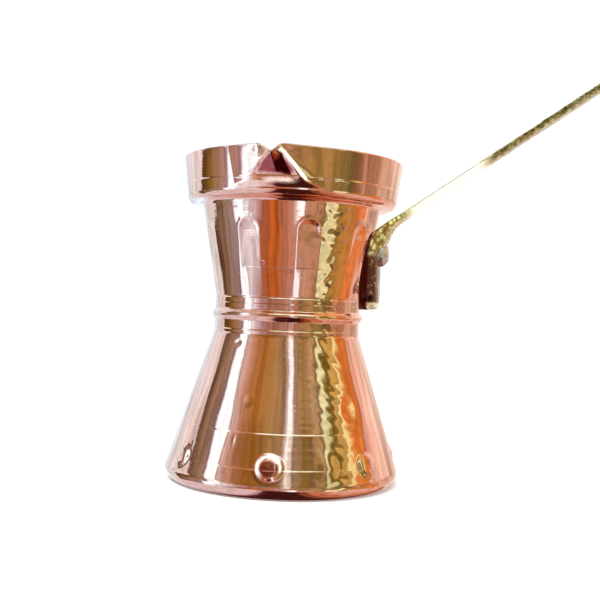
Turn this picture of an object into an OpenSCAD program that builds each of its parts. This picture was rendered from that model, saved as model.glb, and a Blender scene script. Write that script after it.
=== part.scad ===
// Hourglass coffee pot of polished copper with a riveted brass handle.
// Origin: centre of the base on the surface it stands on. +Z is up along the pot's axis,
// the handle points to +X and the pouring lip to -Y. Millimetres.

/* [Pot body] */
// Height of the pot from the base to the rim
pot_height = 105; // [95:1:115]
// Largest radius, just above the foot
foot_radius = 38; // [36:0.5:40]
// Radius of the rounding between the base and the side
foot_round = 4.5; // [3:0.5:6]
// Slope of the lower cone, from the vertical
cone_angle = 18.2; // [17:0.1:19]
// Height where the lower cone meets the waist
waist_bottom = 48; // [46:0.5:50]
// Height where the neck starts to widen
waist_top = 60; // [58:0.5:62]
// Slope of the neck, from the vertical
neck_angle = 10.6; // [9:0.1:12]
// Thickness of the copper sheet
copper_wall = 1.2; // [1:0.1:1.4]
// Thickness of the tin inside
tin_wall = 0.25; // [0.2:0.05:0.3]

/* [Waist bead] */
// Height of the middle of the bead
bead_height = 54; // [53:0.5:55]
// Radius of the bead's round section
bead_section = 1.6; // [1.2:0.1:2]
// How far the bead stands out from the waist
bead_proud = 1; // [0.6:0.1:1.1]

/* [Collar] */
// Height of the collar's underside
collar_bottom = 90; // [89:0.5:91]
// How far the underside steps out from the neck
collar_step = 4.9; // [4.4:0.1:5.2]
// Slope of the collar's side, from the vertical
collar_angle = 7; // [5:0.5:9]
// Radius of the collar's lower corner
collar_round = 4.4; // [3.6:0.1:4.6]

/* [Pouring lip] */
// How far the lip's tip stands out from the rim
lip_reach = 4.5; // [4:0.5:6]
// Radius of the lip's tip
lip_tip_radius = 2; // [1.8:0.1:2.5]
// Radius of the lip's root, inside the rim
lip_root_radius = 14; // [12:0.5:16]
// Downward slope of the lip's edge, from the rim to the tip
lip_slope = 12; // [5:1:15]
// Turn of the lip towards the handle, from a right angle to it
lip_turn = 3; // [0:0.5:8]

/* [Flutes and bosses] */
// Number of flutes around the neck
flute_count = 9; // [7:1:9]
// Depth of a flute at its round top end
flute_depth = 0.6; // [0.4:0.05:0.7]
// Radius of a flute's hollow section
flute_section = 12; // [8:1:12]
// Height of the middle of a flute's round top end
flute_top = 80; // [77:0.5:80]
// Turn of the first flute from the front, towards the handle
flute_turn = -16; // [-18:1:-14]
// Number of bosses around the foot
boss_count = 7; // [5:1:8]
// Radius of a boss at the surface
boss_radius = 4.3; // [3.5:0.1:4.5]
// How far a boss stands out
boss_proud = 1; // [0.8:0.1:1.4]
// Height of the bosses' centres
boss_height = 9.6; // [9.2:0.1:9.8]
// Turn of the first boss from the front, towards the handle
boss_turn = 6.5; // [0:0.5:10]

/* [Handle] */
// Length of the bar from the bend to the end
bar_length = 145; // [120:5:165]
// Slope of the bar above the horizontal
bar_rise = 35; // [30:1:40]
// Thickness of the bar
bar_thick = 2.2; // [2:0.1:3]
// Width of the bar along its middle
bar_width = 7; // [6:0.5:9]
// Width of the foot plate that lies along the neck
plate_width = 14; // [12:0.5:15]
// Height of the foot plate's lower end
plate_bottom = 57; // [56.5:0.5:59]
// Thickness of the foot plate at its middle
plate_thick = 6.3; // [5.8:0.1:6.6]
// Radius of the crowned faces of the foot plate
plate_crown = 40; // [30:5:60]
// Radius of the flattened end of the bar
end_radius = 7; // [6:0.5:8]
// Radius of the hanging hole
hole_radius = 2.5; // [2:0.1:3]

/* [Rivets] */
// Radius of the rivet shanks
shank_radius = 2; // [1.8:0.1:2.3]
// Radius of the domed head
head_radius = 4.3; // [4:0.1:4.6]
// Height of the domed head
head_height = 3.1; // [2.6:0.1:3.4]
// Height of the upper rivet on the neck
upper_rivet_height = 76; // [74.5:0.5:76.5]
// Height of the lower rivet on the neck
lower_rivet_height = 63.5; // [63:0.5:65]
// Radius of the tails hammered flat inside the pot
tail_radius = 3.4; // [3:0.1:3.8]
// Height of the tails
tail_height = 1.2; // [1:0.1:1.4]

/* [Hidden] */
$fn = 96;
// Extra length by which a cutter passes the face that it cuts
over = 1;
lining_face = copper_wall + tin_wall;
// Middle of the foot's round edge, and the place where the lower cone starts from it
foot_centre = foot_radius - foot_round;
cone_start_r = foot_centre + foot_round * cos(cone_angle);
cone_start_z = foot_round + foot_round * sin(cone_angle);
waist_radius = cone_start_r - (waist_bottom - cone_start_z) * tan(cone_angle);
collar_low_radius = neck_radius(collar_bottom) + collar_step;
rim_radius = collar_radius(pot_height);
// Middle of the rounding of the collar's lower corner
corner_z = collar_bottom + collar_round;
corner_r = collar_radius(corner_z) - collar_round / cos(collar_angle);
// How far the lip's root stands out from the rim, and its toe from the collar's lower edge
lip_root_proud = 1.8;
lip_toe_radius = 2.6;
lip_toe_proud = 0.8;
// Length of the upright foot plate, and where its back and its front stand from the pot's axis
plate_length = 27;
plate_back = neck_radius(lower_rivet_height);
plate_front = plate_back + plate_thick;
// How deep the rivet's head is let into the plate's crowned face
head_seat = 0.3;
// Where the bar leaves the foot plate, and where along it its width changes
bend_radius = 1.9;
bar_root_x = 30.4;
bar_root_z = 83;
shaft_start = 16;
shaft_grip = 42;
// How far the bar widens ahead of its flattened end
eye_shoulder = 1;
countersink_depth = 1.2;
// Depth by which a rivet's shank runs on into its tail
shank_lap = 0.2;
// Length of the drill that makes the rivet holes, and of the one that makes the hanging hole
rivet_drill = 40;
hanging_drill = 4 * bar_thick;
// How far a boss's disc reaches past the boss, and how deep it is sunk in the sheet
boss_skirt = 1.5;
boss_sink = 2;
// Radii of the spheres that the rivet heads, the bosses and the rivet tails are cut from
head_sphere = (head_radius * head_radius + head_height * head_height) / (2 * head_height);
boss_sphere = (boss_radius * boss_radius + boss_proud * boss_proud) / (2 * boss_proud);
tail_sphere = (tail_radius * tail_radius + tail_height * tail_height) / (2 * tail_height);

function cone_radius(z) = cone_start_r - (z - cone_start_z) * tan(cone_angle);
function neck_radius(z) = waist_radius + (z - waist_top) * tan(neck_angle);
function collar_radius(z) = collar_low_radius + (z - collar_bottom) * tan(collar_angle);

// Half section of the pot, moved inwards by inset; raised is how far it passes the rim
module pot_outline(inset, raised) {
    cone_in = inset / cos(cone_angle);
    neck_in = inset / cos(neck_angle);
    collar_in = inset / cos(collar_angle);
    shelf = collar_bottom + inset;
    top = pot_height + raised;
    corner = collar_round - inset;
    polygon([
        [0, inset],
        [foot_centre, inset],
        [cone_start_r - inset * cos(cone_angle), cone_start_z - inset * sin(cone_angle)],
        [waist_radius - cone_in, waist_bottom],
        [waist_radius - cone_in, waist_top],
        [neck_radius(shelf) - neck_in, shelf],
        [corner_r, shelf],
        [corner_r + corner * cos(collar_angle), corner_z - corner * sin(collar_angle)],
        [collar_radius(top) - collar_in, top],
        [0, top]
    ]);
    translate([foot_centre, foot_round]) circle(r = foot_round - inset);
    translate([corner_r, corner_z]) circle(r = corner);
}

// A solid of the pouring lip, with its walls moved inwards by inset
module lip_form(inset, raised) {
    root_y = rim_radius - lip_root_radius + lip_root_proud;
    tip_y = rim_radius + lip_reach - lip_tip_radius;
    thick = over + raised;
    rotate([0, 0, lip_turn]) hull() {
        translate([0, -tip_y, pot_height - over])
            cylinder(r = lip_tip_radius - inset, h = thick, $fn = 32);
        translate([0, -root_y, pot_height - over])
            cylinder(r = lip_root_radius - inset, h = thick, $fn = 32);
        translate([0, lip_toe_radius - lip_toe_proud - collar_low_radius, corner_z])
            sphere(r = lip_toe_radius - inset, $fn = 24);
    }
}

// Cutter that levels the rim and slopes the lip's edge down towards its tip
module rim_cutter() {
    far = rim_radius + lip_reach + over;
    slope_start = over - rim_radius;
    rotate([90, 0, 90 + lip_turn])
        linear_extrude(2 * far, center = true)
            polygon([
                [-far, pot_height - (far + slope_start) * tan(lip_slope)],
                [slope_start, pot_height],
                [far, pot_height],
                [far, pot_height + 3 * over],
                [-far, pot_height + 3 * over]
            ]);
}

// Hollow cutters of the flutes, grown by inset for the inside face
module flutes(inset) {
    section = flute_section + inset;
    fade = atan(flute_depth / (flute_top - waist_top));
    axis_r = neck_radius(flute_top) - flute_depth + flute_section;
    for (i = [0 : flute_count - 1])
        rotate([0, 0, flute_turn - 90 + i * 360 / flute_count])
            translate([axis_r, 0, flute_top])
                rotate([0, neck_angle - fade, 0]) {
                    sphere(r = section);
                    mirror([0, 0, 1]) cylinder(r = section, h = flute_top - waist_top);
                }
}

// Round bosses pressed out around the foot
module bosses(inset) {
    for (i = [0 : boss_count - 1])
        rotate([0, 0, boss_turn - 90 + i * 360 / boss_count])
            translate([cone_radius(boss_height), 0, boss_height])
                rotate([0, 90 - cone_angle, 0])
                    intersection() {
                        translate([0, 0, boss_proud - boss_sphere])
                            sphere(r = boss_sphere - inset, $fn = 64);
                        translate([0, 0, -inset - boss_sink])
                            cylinder(r = boss_radius + boss_skirt, h = inset + boss_sink + 2 * over);
                    }
}

// The solid whose outside is the pot's outside moved inwards by inset
module pot_form(inset, raised) {
    difference() {
        union() {
            rotate_extrude() pot_outline(inset, raised);
            bosses(inset);
            lip_form(inset, raised);
        }
        flutes(inset);
    }
}

// Places a shape at the handle: its origin at a distance from the pot's axis, its +Z pointing outwards
module at_handle(distance, height) {
    translate([distance, 0, height]) rotate([0, 90, 0]) children();
}

module rivet_holes() {
    for (height = [upper_rivet_height, lower_rivet_height])
        at_handle(neck_radius(height), height)
            cylinder(r = shank_radius, h = rivet_drill, center = true, $fn = 48);
}

module copper_pot() {
    color("peru")
        difference() {
            union() {
                pot_form(0, over);
                rotate_extrude()
                    translate([waist_radius + bead_proud - bead_section, bead_height])
                        circle(r = bead_section, $fn = 48);
            }
            pot_form(copper_wall, 2 * over);
            rim_cutter();
            rivet_holes();
        }
}

module tin_lining() {
    color("silver")
        difference() {
            pot_form(copper_wall, over);
            pot_form(lining_face, 2 * over);
            rim_cutter();
            rivet_holes();
        }
}

// Outline of the bar seen square to its broad side, from the bend to the end
module bar_outline() {
    root = plate_width / 2;
    middle = bar_width / 2;
    end_x = bar_length - end_radius;
    polygon([
        [0, -root], [root, -root], [shaft_start, -middle], [shaft_grip, -middle],
        [end_x - end_radius, -middle - eye_shoulder], [end_x, -end_radius],
        [end_x, end_radius], [end_x - end_radius, middle + eye_shoulder],
        [shaft_grip, middle], [shaft_start, middle], [root, root], [0, root]
    ]);
    translate([end_x, 0]) circle(r = end_radius);
}

// Foot plate: upright, crowned on both faces, with a round lower end; the neck is cut out of its back
module foot_plate() {
    half = plate_width / 2;
    at_handle(plate_back, plate_bottom)
        intersection() {
            linear_extrude(plate_thick) {
                translate([-half, 0]) circle(r = half);
                translate([-plate_length, -half]) square([plate_length - half, plate_width]);
            }
            translate([-plate_length - over, 0, plate_thick - plate_crown])
                rotate([0, 90, 0]) cylinder(r = plate_crown, h = plate_length + 2 * over);
            translate([-plate_length - over, 0, plate_crown])
                rotate([0, 90, 0]) cylinder(r = plate_crown, h = plate_length + 2 * over);
        }
}

module brass_handle() {
    color("gold")
        difference() {
            union() {
                foot_plate();
                translate([bar_root_x, 0, bar_root_z]) {
                    rotate([90, 0, 0]) cylinder(r = bend_radius, h = plate_width, center = true);
                    rotate([0, -bar_rise, 0])
                        translate([0, 0, -bar_thick / 2]) linear_extrude(bar_thick) bar_outline();
                }
            }
            rotate_extrude() pot_outline(0, 0);
            rivet_holes();
            at_handle(plate_front - head_seat, upper_rivet_height) cylinder(r = head_radius, h = over);
            countersink();
            translate([bar_root_x, 0, bar_root_z]) rotate([0, -bar_rise, 0])
                translate([bar_length - end_radius, 0, 0])
                    cylinder(r = hole_radius, h = hanging_drill, center = true);
        }
}

// Hammered tail inside the pot, and the shank that runs from it out to shank_end
module shank_and_tail(height, shank_end) {
    inside = neck_radius(height) - lining_face;
    intersection() {
        at_handle(inside - tail_height + tail_sphere, height) sphere(r = tail_sphere);
        rotate_extrude() pot_outline(lining_face, 0);
    }
    at_handle(inside - shank_lap, height)
        cylinder(r = shank_radius, h = shank_end - inside + shank_lap, $fn = 48);
}

module upper_rivet() {
    seat = plate_front - head_seat;
    color("lightgray") {
        shank_and_tail(upper_rivet_height, plate_front);
        intersection() {
            at_handle(seat + head_height - head_sphere, upper_rivet_height) sphere(r = head_sphere);
            at_handle(seat, upper_rivet_height) cylinder(r = head_radius, h = head_height);
        }
    }
}

// The lower rivet's head is a countersunk cone, filed flush with the foot plate
module countersink() {
    at_handle(plate_front - countersink_depth, lower_rivet_height)
        cylinder(r1 = shank_radius, r2 = shank_radius + countersink_depth, h = countersink_depth + over);
}

module lower_rivet() {
    color("lightgray") {
        shank_and_tail(lower_rivet_height, plate_front - countersink_depth);
        intersection() {
            countersink();
            foot_plate();
        }
    }
}

copper_pot();
tin_lining();
brass_handle();
upper_rivet();
lower_rivet();
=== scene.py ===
"""Looks of the hourglass copper coffee pot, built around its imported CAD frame."""

import math

import bmesh
import bpy
import numpy as np
from mathutils import Matrix, Vector


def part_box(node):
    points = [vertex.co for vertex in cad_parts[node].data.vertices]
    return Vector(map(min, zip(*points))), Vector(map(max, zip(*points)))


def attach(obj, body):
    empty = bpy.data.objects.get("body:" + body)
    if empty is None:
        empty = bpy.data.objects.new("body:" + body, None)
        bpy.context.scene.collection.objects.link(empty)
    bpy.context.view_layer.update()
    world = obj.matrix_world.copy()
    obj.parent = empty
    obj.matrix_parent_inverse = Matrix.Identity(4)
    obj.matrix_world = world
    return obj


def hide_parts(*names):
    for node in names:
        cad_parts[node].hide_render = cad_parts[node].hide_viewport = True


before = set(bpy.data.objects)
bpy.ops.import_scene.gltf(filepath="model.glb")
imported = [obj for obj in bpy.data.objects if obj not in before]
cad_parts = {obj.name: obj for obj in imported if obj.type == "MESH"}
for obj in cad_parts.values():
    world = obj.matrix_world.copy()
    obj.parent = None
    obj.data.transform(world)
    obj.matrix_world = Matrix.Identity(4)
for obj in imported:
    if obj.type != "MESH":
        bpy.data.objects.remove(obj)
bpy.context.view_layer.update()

# All shapes below are worked out in millimetres and made in metres.
MM = 0.001
scene = bpy.context.scene

# ---------------------------------------------------------------- sizes from the frame
pot_low, pot_high = (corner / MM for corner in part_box("copper_pot"))
RIM_HEIGHT = pot_high.z
FOOT_RADIUS = -pot_low.x

# Pot: the same driving sizes as the CAD part, in millimetres and degrees
FOOT_ROUND = 4.5
CONE_ANGLE = math.radians(18.2)
WAIST_BOTTOM, WAIST_TOP = 48.0, 60.0
NECK_ANGLE = math.radians(10.6)
COLLAR_BOTTOM = 90.0
COLLAR_STEP = 4.9
COLLAR_ROUND = 4.4
COLLAR_ANGLE = math.radians(7.0)
COPPER_WALL, TIN_WALL = 1.2, 0.25

CONE_START_R = FOOT_RADIUS - FOOT_ROUND + FOOT_ROUND * math.cos(CONE_ANGLE)
CONE_START_Z = FOOT_ROUND + FOOT_ROUND * math.sin(CONE_ANGLE)
WAIST_RADIUS = CONE_START_R - (WAIST_BOTTOM - CONE_START_Z) * math.tan(CONE_ANGLE)


def neck_radius(z):
    return WAIST_RADIUS + (z - WAIST_TOP) * math.tan(NECK_ANGLE)


def collar_radius(z):
    return neck_radius(COLLAR_BOTTOM) + COLLAR_STEP + (z - COLLAR_BOTTOM) * math.tan(COLLAR_ANGLE)


# ---------------------------------------------------------------- mesh helpers
def smooth_step(low, high, x):
    t = np.clip((x - low) / (high - low), 0.0, 1.0)
    return t * t * (3 - 2 * t)


def rounded_line(corners, step=0.25):
    """Points along a line through corners (r, z, fillet radius), with the corners rounded."""
    pts = [Vector((r, z)) for r, z, _ in corners]
    out = [pts[0]]
    for i in range(1, len(pts) - 1):
        a, b, c, radius = pts[i - 1], pts[i], pts[i + 1], corners[i][2]
        into, away = (a - b).normalized(), (c - b).normalized()
        half = math.acos(max(-1.0, min(1.0, into.dot(away)))) / 2
        cut = min(radius / math.tan(half), 0.48 * (a - b).length, 0.48 * (c - b).length)
        radius = cut * math.tan(half)
        start, end = b + into * cut, b + away * cut
        centre = b + (into + away).normalized() * (radius / math.sin(half))
        count = max(3, int(radius * (math.pi - 2 * half) / step) + 1)
        for k in range(count + 1):
            ray = (start - centre).lerp(end - centre, k / count)
            out.append(centre + ray.normalized() * radius)
    out.append(pts[-1])
    return np.array([(p.x, p.y) for p in out])


def resample(line, spacing):
    """Points along a line at gaps of spacing(r, z) millimetres."""
    gaps = np.hypot(*np.diff(line, axis=0).T)
    at = np.concatenate([[0], np.cumsum(gaps)])
    fine = np.linspace(0, at[-1], int(at[-1] / 0.04))
    r, z = np.interp(fine, at, line[:, 0]), np.interp(fine, at, line[:, 1])
    rows = np.concatenate([[0], np.cumsum(np.diff(fine) / spacing(r, z)[1:])])
    picks = np.linspace(0, rows[-1], int(math.ceil(rows[-1])) + 1)
    s = np.interp(picks, rows, fine)
    return np.stack([np.interp(s, fine, r), np.interp(s, fine, z)], 1)


def offset_line(line, distance):
    """The line moved sideways, to the left of its direction for a positive distance."""
    run = np.gradient(line, axis=0)
    run /= np.maximum(np.hypot(run[:, 0], run[:, 1]), 1e-9)[:, None]
    return line + distance * np.stack([-run[:, 1], run[:, 0]], 1)


def make_object(name, verts, faces):
    """A smooth-shaded mesh object from vertices in millimetres."""
    mesh = bpy.data.meshes.new(name)
    mesh.from_pydata((np.asarray(verts) * MM).tolist(), [], faces)
    mesh.validate()
    mesh.polygons.foreach_set("use_smooth", [True] * len(mesh.polygons))
    obj = bpy.data.objects.new(name, mesh)
    scene.collection.objects.link(obj)
    return obj


def grid_faces(rows, columns, start=0):
    """Quads of a grid whose columns close into a ring."""
    i, j = np.meshgrid(np.arange(rows - 1), np.arange(columns), indexing="ij")
    k = (j + 1) % columns
    quads = np.stack([i * columns + j, i * columns + k, (i + 1) * columns + k, (i + 1) * columns + j], -1)
    return (quads.reshape(-1, 4) + start).tolist()


def recalculated(obj):
    """Turns every face outwards."""
    bm = bmesh.new()
    bm.from_mesh(obj.data)
    bmesh.ops.remove_doubles(bm, verts=bm.verts, dist=1e-7)
    bmesh.ops.recalc_face_normals(bm, faces=bm.faces)
    bm.to_mesh(obj.data)
    bm.free()
    return obj


# ---------------------------------------------------------------- the pot's relief
FLUTES, FLUTE_TURN, FLUTE_TOP, FLUTE_HALF = 9, -16.0, 80.4, 3.6
FLUTE_DEPTH, FLUTE_DENT, FLUTE_EDGE = 0.20, 0.12, 0.06
BOSSES, BOSS_TURN, BOSS_PROUD, BOSS_HEIGHT, BOSS_RADIUS = 7, 6.5, 0.9, 9.6, 4.3
LIP_TURN = 4.5
LIP_HALF = 14.0
LIP_FOLD_HALF, LIP_FOLD_HEIGHT = 8.2, 94.0
LIP_SLANT, LIP_NOSE = 2.4, 1.5
LIP_DIP = 2.6
BEAD_HEIGHT, BEAD_HALF, BEAD_PROUD = 54.0, 1.75, 0.95
# Shoulders turned into the sheet: height, how far they stand out, width of the step, run-out below
SHOULDERS = (
    (59.5, 0.20, 0.55, 1.6),
    (57.7, 0.09, 0.40, 1.0),
    (49.4, 0.20, 0.55, 2.0),
    (68.9, 0.03, 0.40, 0.8),
    (19.0, 0.08, 0.45, 1.6),
    (8.9, 0.09, 0.50, 1.8),
    (95.6, 0.16, 0.50, 1.2),
)
# Small dents and bumps left by handling: turn, height, half width, half height, depth
HAND_MARKS = (
    (52.5, 26.0, 3.2, 4.6, -0.24),
    (52.5, 25.0, 6.0, 9.0, -0.14),
    (34.0, 10.0, 4.5, 5.0, 0.42),
    (-25.0, 45.3, 2.0, 1.5, -0.10),
    (-8.6, 28.0, 1.6, 2.2, 0.08),
    (-6.4, 70.4, 0.9, 0.40, -0.16),
    (-13.0, 16.5, 0.5, 2.6, -0.10),
    (-39.0, 13.6, 0.6, 2.0, -0.08),
    (-52.0, 13.0, 0.8, 1.8, -0.16),
    (131.0, 33.0, 3.0, 3.0, -0.18),
    (-118.0, 24.0, 2.6, 3.4, -0.20),
    (197.0, 18.0, 2.4, 2.4, -0.15),
    (158.0, 70.0, 1.8, 2.4, -0.14),
    (-84.0, 41.0, 1.6, 2.6, 0.10),
)


def turned(phi, centre):
    """Angle from centre, in radians, between minus and plus half a turn."""
    return (phi - math.radians(centre) + math.pi) % (2 * math.pi) - math.pi


# Where the brazed seam runs up the pot, and the strip beside it that the hammer streaked
SEAM_TURN, BESIDE_TURN, BACK_TURN = 42.0, 24.0, 205.0


def ring_relief(z):
    """The round bead at the waist and the fine turned shoulders above and below it."""
    out = BEAD_PROUD * (1 - np.clip(np.abs(z - BEAD_HEIGHT) / BEAD_HALF, 0, 1) ** 2) ** 1.5
    for height, proud, step, run_out in SHOULDERS:
        rise = 1 - smooth_step(height - step / 2, height + step / 2, z)
        out += proud * rise * np.exp(-np.maximum(0, height - step / 2 - z) / run_out)
    return out


def hand_wobble(phi, z):
    """Gentle unevenness of hand-worked sheet, about 0.05 mm."""
    rng = np.random.default_rng(7)
    out = np.zeros(np.broadcast(phi, z).shape)
    for _ in range(26):
        turns = int(rng.integers(1, 15))
        wave = float(rng.uniform(0.02, 0.42))
        phase = rng.uniform(0, 2 * math.pi, 2)
        size = 0.036 / (1 + 0.22 * turns + 3.0 * wave)
        out += size * np.cos(turns * phi + phase[0]) * np.cos(wave * z + phase[1])
    return out


def planish(phi, r, z):
    """Facets left by the hammer, strongest along the brazed seam between lip and handle."""
    rng = np.random.default_rng(11)
    out = np.zeros(np.broadcast(phi, z).shape)
    for _ in range(16):
        around = float(rng.integers(14, 44))
        wave = float(rng.uniform(0.8, 2.2))
        phase = rng.uniform(0, 2 * math.pi, 2)
        out += np.cos(around * phi + phase[0]) * np.cos(wave * z + phase[1])
    seam = np.exp(-((turned(phi, SEAM_TURN) / math.radians(10)) ** 2)) * (1 - smooth_step(84.0, 90.0, z))
    zigzag = np.cos(2 * math.pi * z / 4.3 + 3.0 * np.sin(0.21 * z))
    zigzag = zigzag * np.cos(turned(phi, SEAM_TURN) * r * 0.75 + 0.4 * z)
    streaks = np.cos(2 * math.pi * z / 2.3 + 2.0 * np.sin(0.31 * z)) * (0.6 + 0.4 * np.cos(0.9 * z))
    beside = np.exp(-((turned(phi, BESIDE_TURN) / math.radians(11)) ** 2)) * (1 - smooth_step(52.0, 56.0, z))
    worked = 0.12 + 2.2 * seam + 0.6 * np.exp(-((turned(phi, BACK_TURN) / math.radians(30)) ** 2))
    return 0.0058 * out * worked + 0.045 * zigzag * seam + 0.012 * streaks * beside


def lip_side(phi, z):
    """Distance round the pot from the lip's middle, which leans to the left towards the rim."""
    return turned(phi, LIP_TURN) * RIM_OUT + 0.15 * (z - LIP_FOLD_HEIGHT)


def lip_flank(across):
    """How far the rim is drawn out at a distance from the lip's middle."""
    slant = LIP_SLANT * np.clip(1 - across / LIP_HALF, 0, 1) ** 1.1
    return slant + LIP_NOSE * np.exp(-((across / 2.6) ** 2))


def lip_relief(phi, z):
    """How far the pinched lip stands out: two flanks that meet its underside in slanting folds."""
    side = lip_side(phi, z)
    across = np.sqrt(side**2 + 0.6**2) - 0.6
    flank = lip_flank(across)
    below = np.maximum(LIP_FOLD_HEIGHT - z, 0)
    fold_at = np.maximum(LIP_FOLD_HALF - 0.72 * (z - LIP_FOLD_HEIGHT) + 3.2 * below, 0)
    under = lip_flank(fold_at)
    blend = np.where(side > 0, 0.16, 0.16 + 0.35 * smooth_step(0.0, 4.0, across))
    low = np.clip(0.5 + 0.5 * (under - flank) / blend, 0, 1)
    out = under * (1 - low) + flank * low - blend * low * (1 - low)
    reaches = smooth_step(LIP_HALF, LIP_HALF - 3, across)
    fold = np.exp(-(((flank - under - 0.05) / 0.34) ** 2)) * smooth_step(93.0, 95.5, z) * reaches
    fold *= np.where(side > 0, 0.52, 0.12) * smooth_step(0.8, 2.4, across)
    hollow = 0.55 * np.exp(-(((side + 1.5) / 5.5) ** 2)) * np.exp(-(((z - 95.6) / 1.5) ** 2))
    curl = 0.38 * np.exp(-(((side - 4.6) / 1.8) ** 2)) * smooth_step(102.6, RIM_HEIGHT, z)
    curl += 0.22 * np.exp(-(((side + 5.5) / 2.4) ** 2)) * smooth_step(101.5, RIM_HEIGHT, z)
    return np.maximum(out, 0) * (z > COLLAR_BOTTOM) * smooth_step(90.0, 92.0, z) + fold + curl - hollow


def painted_sheen_and_shade(phi, z):
    """Painted light on the copper: painted highlights (towards 1) along the lip's folds, across its middle
    and left of it and over the bosses, and painted shade (towards -1) in the lip's throat and in and below
    the bosses.
    """
    side = lip_side(phi, z)
    across = np.abs(side)
    fold_at = LIP_FOLD_HALF - 0.72 * (z - LIP_FOLD_HEIGHT)
    on_lip = (z > COLLAR_BOTTOM + 1.5) * smooth_step(LIP_HALF, LIP_HALF - 3, across)
    # Painted highlight along the lip's right fold, and a weaker one along its left fold
    ridge = np.exp(-(((side - fold_at - 0.9) / 0.72) ** 2))
    ridge = ridge * smooth_step(104.6, 102.5, z) * smooth_step(93.5, 95.5, z)
    left_ridge = np.exp(-(((side + fold_at + 1.2) / 1.5) ** 2)) * smooth_step(94.0, 96.0, z)
    # Painted shade in the lip's throat; painted highlights on a patch across the lip and on the collar left
    # of it
    throat = smooth_step(fold_at + 0.2, fold_at - 1.2, across) * smooth_step(95.6, 97.4, z)
    patch = np.exp(-(((side - 0.5) / 6.0) ** 4)) * np.exp(-(((z - 94.5) / 1.15) ** 2))
    left = smooth_step(-3.0, -7.0, side) * smooth_step(90.5, 92.0, z) * smooth_step(97.0, 95.0, z)
    pale = np.maximum.reduce([1.0 * ridge, 0.30 * left_ridge, 0.50 * patch, 0.30 * left])
    out = np.where(on_lip > 0, on_lip * (pale - 0.62 * throat * (1 - pale)), 0.0)
    for i in range(BOSSES):
        across = turned(phi, BOSS_TURN + i * 360 / BOSSES) * FOOT_RADIUS
        up = (z - BOSS_HEIGHT) / math.cos(CONE_ANGLE)
        away = np.sqrt(across**2 + up**2) / BOSS_RADIUS
        # Painted highlight: a pale arc over each boss's top; painted shade in its middle and just below it
        arc = np.exp(-(((away - 0.80) / 0.13) ** 2)) * smooth_step(-1.5, 1.5, up + 0.5 * across)
        stain_and_shade = smooth_step(0.75, 0.55, away)
        stain_and_shade = stain_and_shade + 0.8 * np.exp(-(((away - 1.15) / 0.2) ** 2)) * smooth_step(1.0, -2.0, up)
        share = 1.0 if i == 0 else 0.3
        out = out + np.where(z < 20, share * (0.6 * arc - 0.5 * stain_and_shade), 0.0)
    return out


def relief(phi, r, z):
    """Radial change of the turned form, in millimetres, at each angle and height."""
    out = hand_wobble(phi, z) * smooth_step(0.0, 6.0, z)
    side = smooth_step(1.0, 5.0, z)
    for i in range(FLUTES):
        across = turned(phi, FLUTE_TURN + i * 360 / FLUTES) * r
        away = np.sqrt(across**2 + np.maximum(0, z - FLUTE_TOP) ** 2) / FLUTE_HALF
        fade = smooth_step(WAIST_TOP, FLUTE_TOP - 3.0, z)
        dent = FLUTE_DENT * smooth_step(FLUTE_TOP - 5.0, FLUTE_TOP + 1.6, z)
        shape = np.clip(1 - away**2, 0, 1)
        out -= fade * (FLUTE_DEPTH * shape + dent * shape**0.8)
        out += fade * FLUTE_EDGE * np.exp(-(((away - 1.0) * FLUTE_HALF / 0.8) ** 2))
    for i in range(BOSSES):
        across = turned(phi, BOSS_TURN + i * 360 / BOSSES) * r
        away = np.sqrt(across**2 + ((z - BOSS_HEIGHT) / math.cos(CONE_ANGLE)) ** 2) / BOSS_RADIUS
        round_top = 0.5 * (1 - smooth_step(0.5, 1.05, away)) + 0.5 * np.clip(1 - away**2, 0, 1)
        out += side * BOSS_PROUD * round_top
    for turn, height, wide, tall, depth in HAND_MARKS:
        away = np.sqrt((turned(phi, turn) * r / wide) ** 2 + ((z - height) / tall) ** 2)
        out += depth * np.clip(1 - away**2, 0, 1) ** 1.5
    out += planish(phi, r, z) * side * (1 - smooth_step(88.0, 91.0, z) * 0.5)
    leftwards = np.degrees(-turned(phi, 0))
    left = smooth_step(30.0, 62.0, leftwards) * smooth_step(160.0, 125.0, leftwards)
    corner = np.clip(collar_radius(z) - r, 0, 3.5) * smooth_step(COLLAR_BOTTOM, COLLAR_BOTTOM + 0.5, z)
    out += 0.72 * left * corner * (z < COLLAR_BOTTOM + COLLAR_ROUND + 0.5)
    return out + lip_relief(phi, z)


# ---------------------------------------------------------------- the pot's outlines
CONE_FOOT_R = CONE_START_R + CONE_START_Z * math.tan(CONE_ANGLE)
NECK_TOP_R = neck_radius(COLLAR_BOTTOM)
RIM_OUT = collar_radius(RIM_HEIGHT)


def pot_outline():
    """Outside of the pot from the centre of the base to the top of the rim."""
    return rounded_line([
        (0, 0.45, 0),
        (25.5, 0.45, 6),
        (29.0, 0.0, 6),
        (CONE_FOOT_R, 0, FOOT_ROUND),
        (WAIST_RADIUS, WAIST_BOTTOM, 2.0),
        (WAIST_RADIUS, WAIST_TOP, 3.0),
        (NECK_TOP_R, COLLAR_BOTTOM, 0.9),
        (NECK_TOP_R + COLLAR_STEP, COLLAR_BOTTOM, COLLAR_ROUND),
        (RIM_OUT - 0.05, RIM_HEIGHT - 0.4, 0),
    ])


def outline_spacing(r, z):
    """Gap between rows: fine at the rings, the foot and the collar, coarser on plain cone and neck."""
    gap = np.full_like(r, 0.5)
    gap = np.where(np.abs(z - BEAD_HEIGHT) < BEAD_HALF + 0.3, 0.17, gap)
    for height, _, step, _ in SHOULDERS:
        gap = np.where(np.abs(z - height) < step, 0.12, gap)
    gap = np.where(np.abs(z - FLUTE_TOP - 2.0) < 3.0, 0.3, gap)
    gap = np.where(z > 89.5, np.minimum(gap, 0.28), gap)
    gap = np.where((z < 1.0) & (r < 33), 1.6, gap)
    return np.where((z < 15.5) & (r > 33), np.minimum(gap, 0.36), gap)


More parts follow.
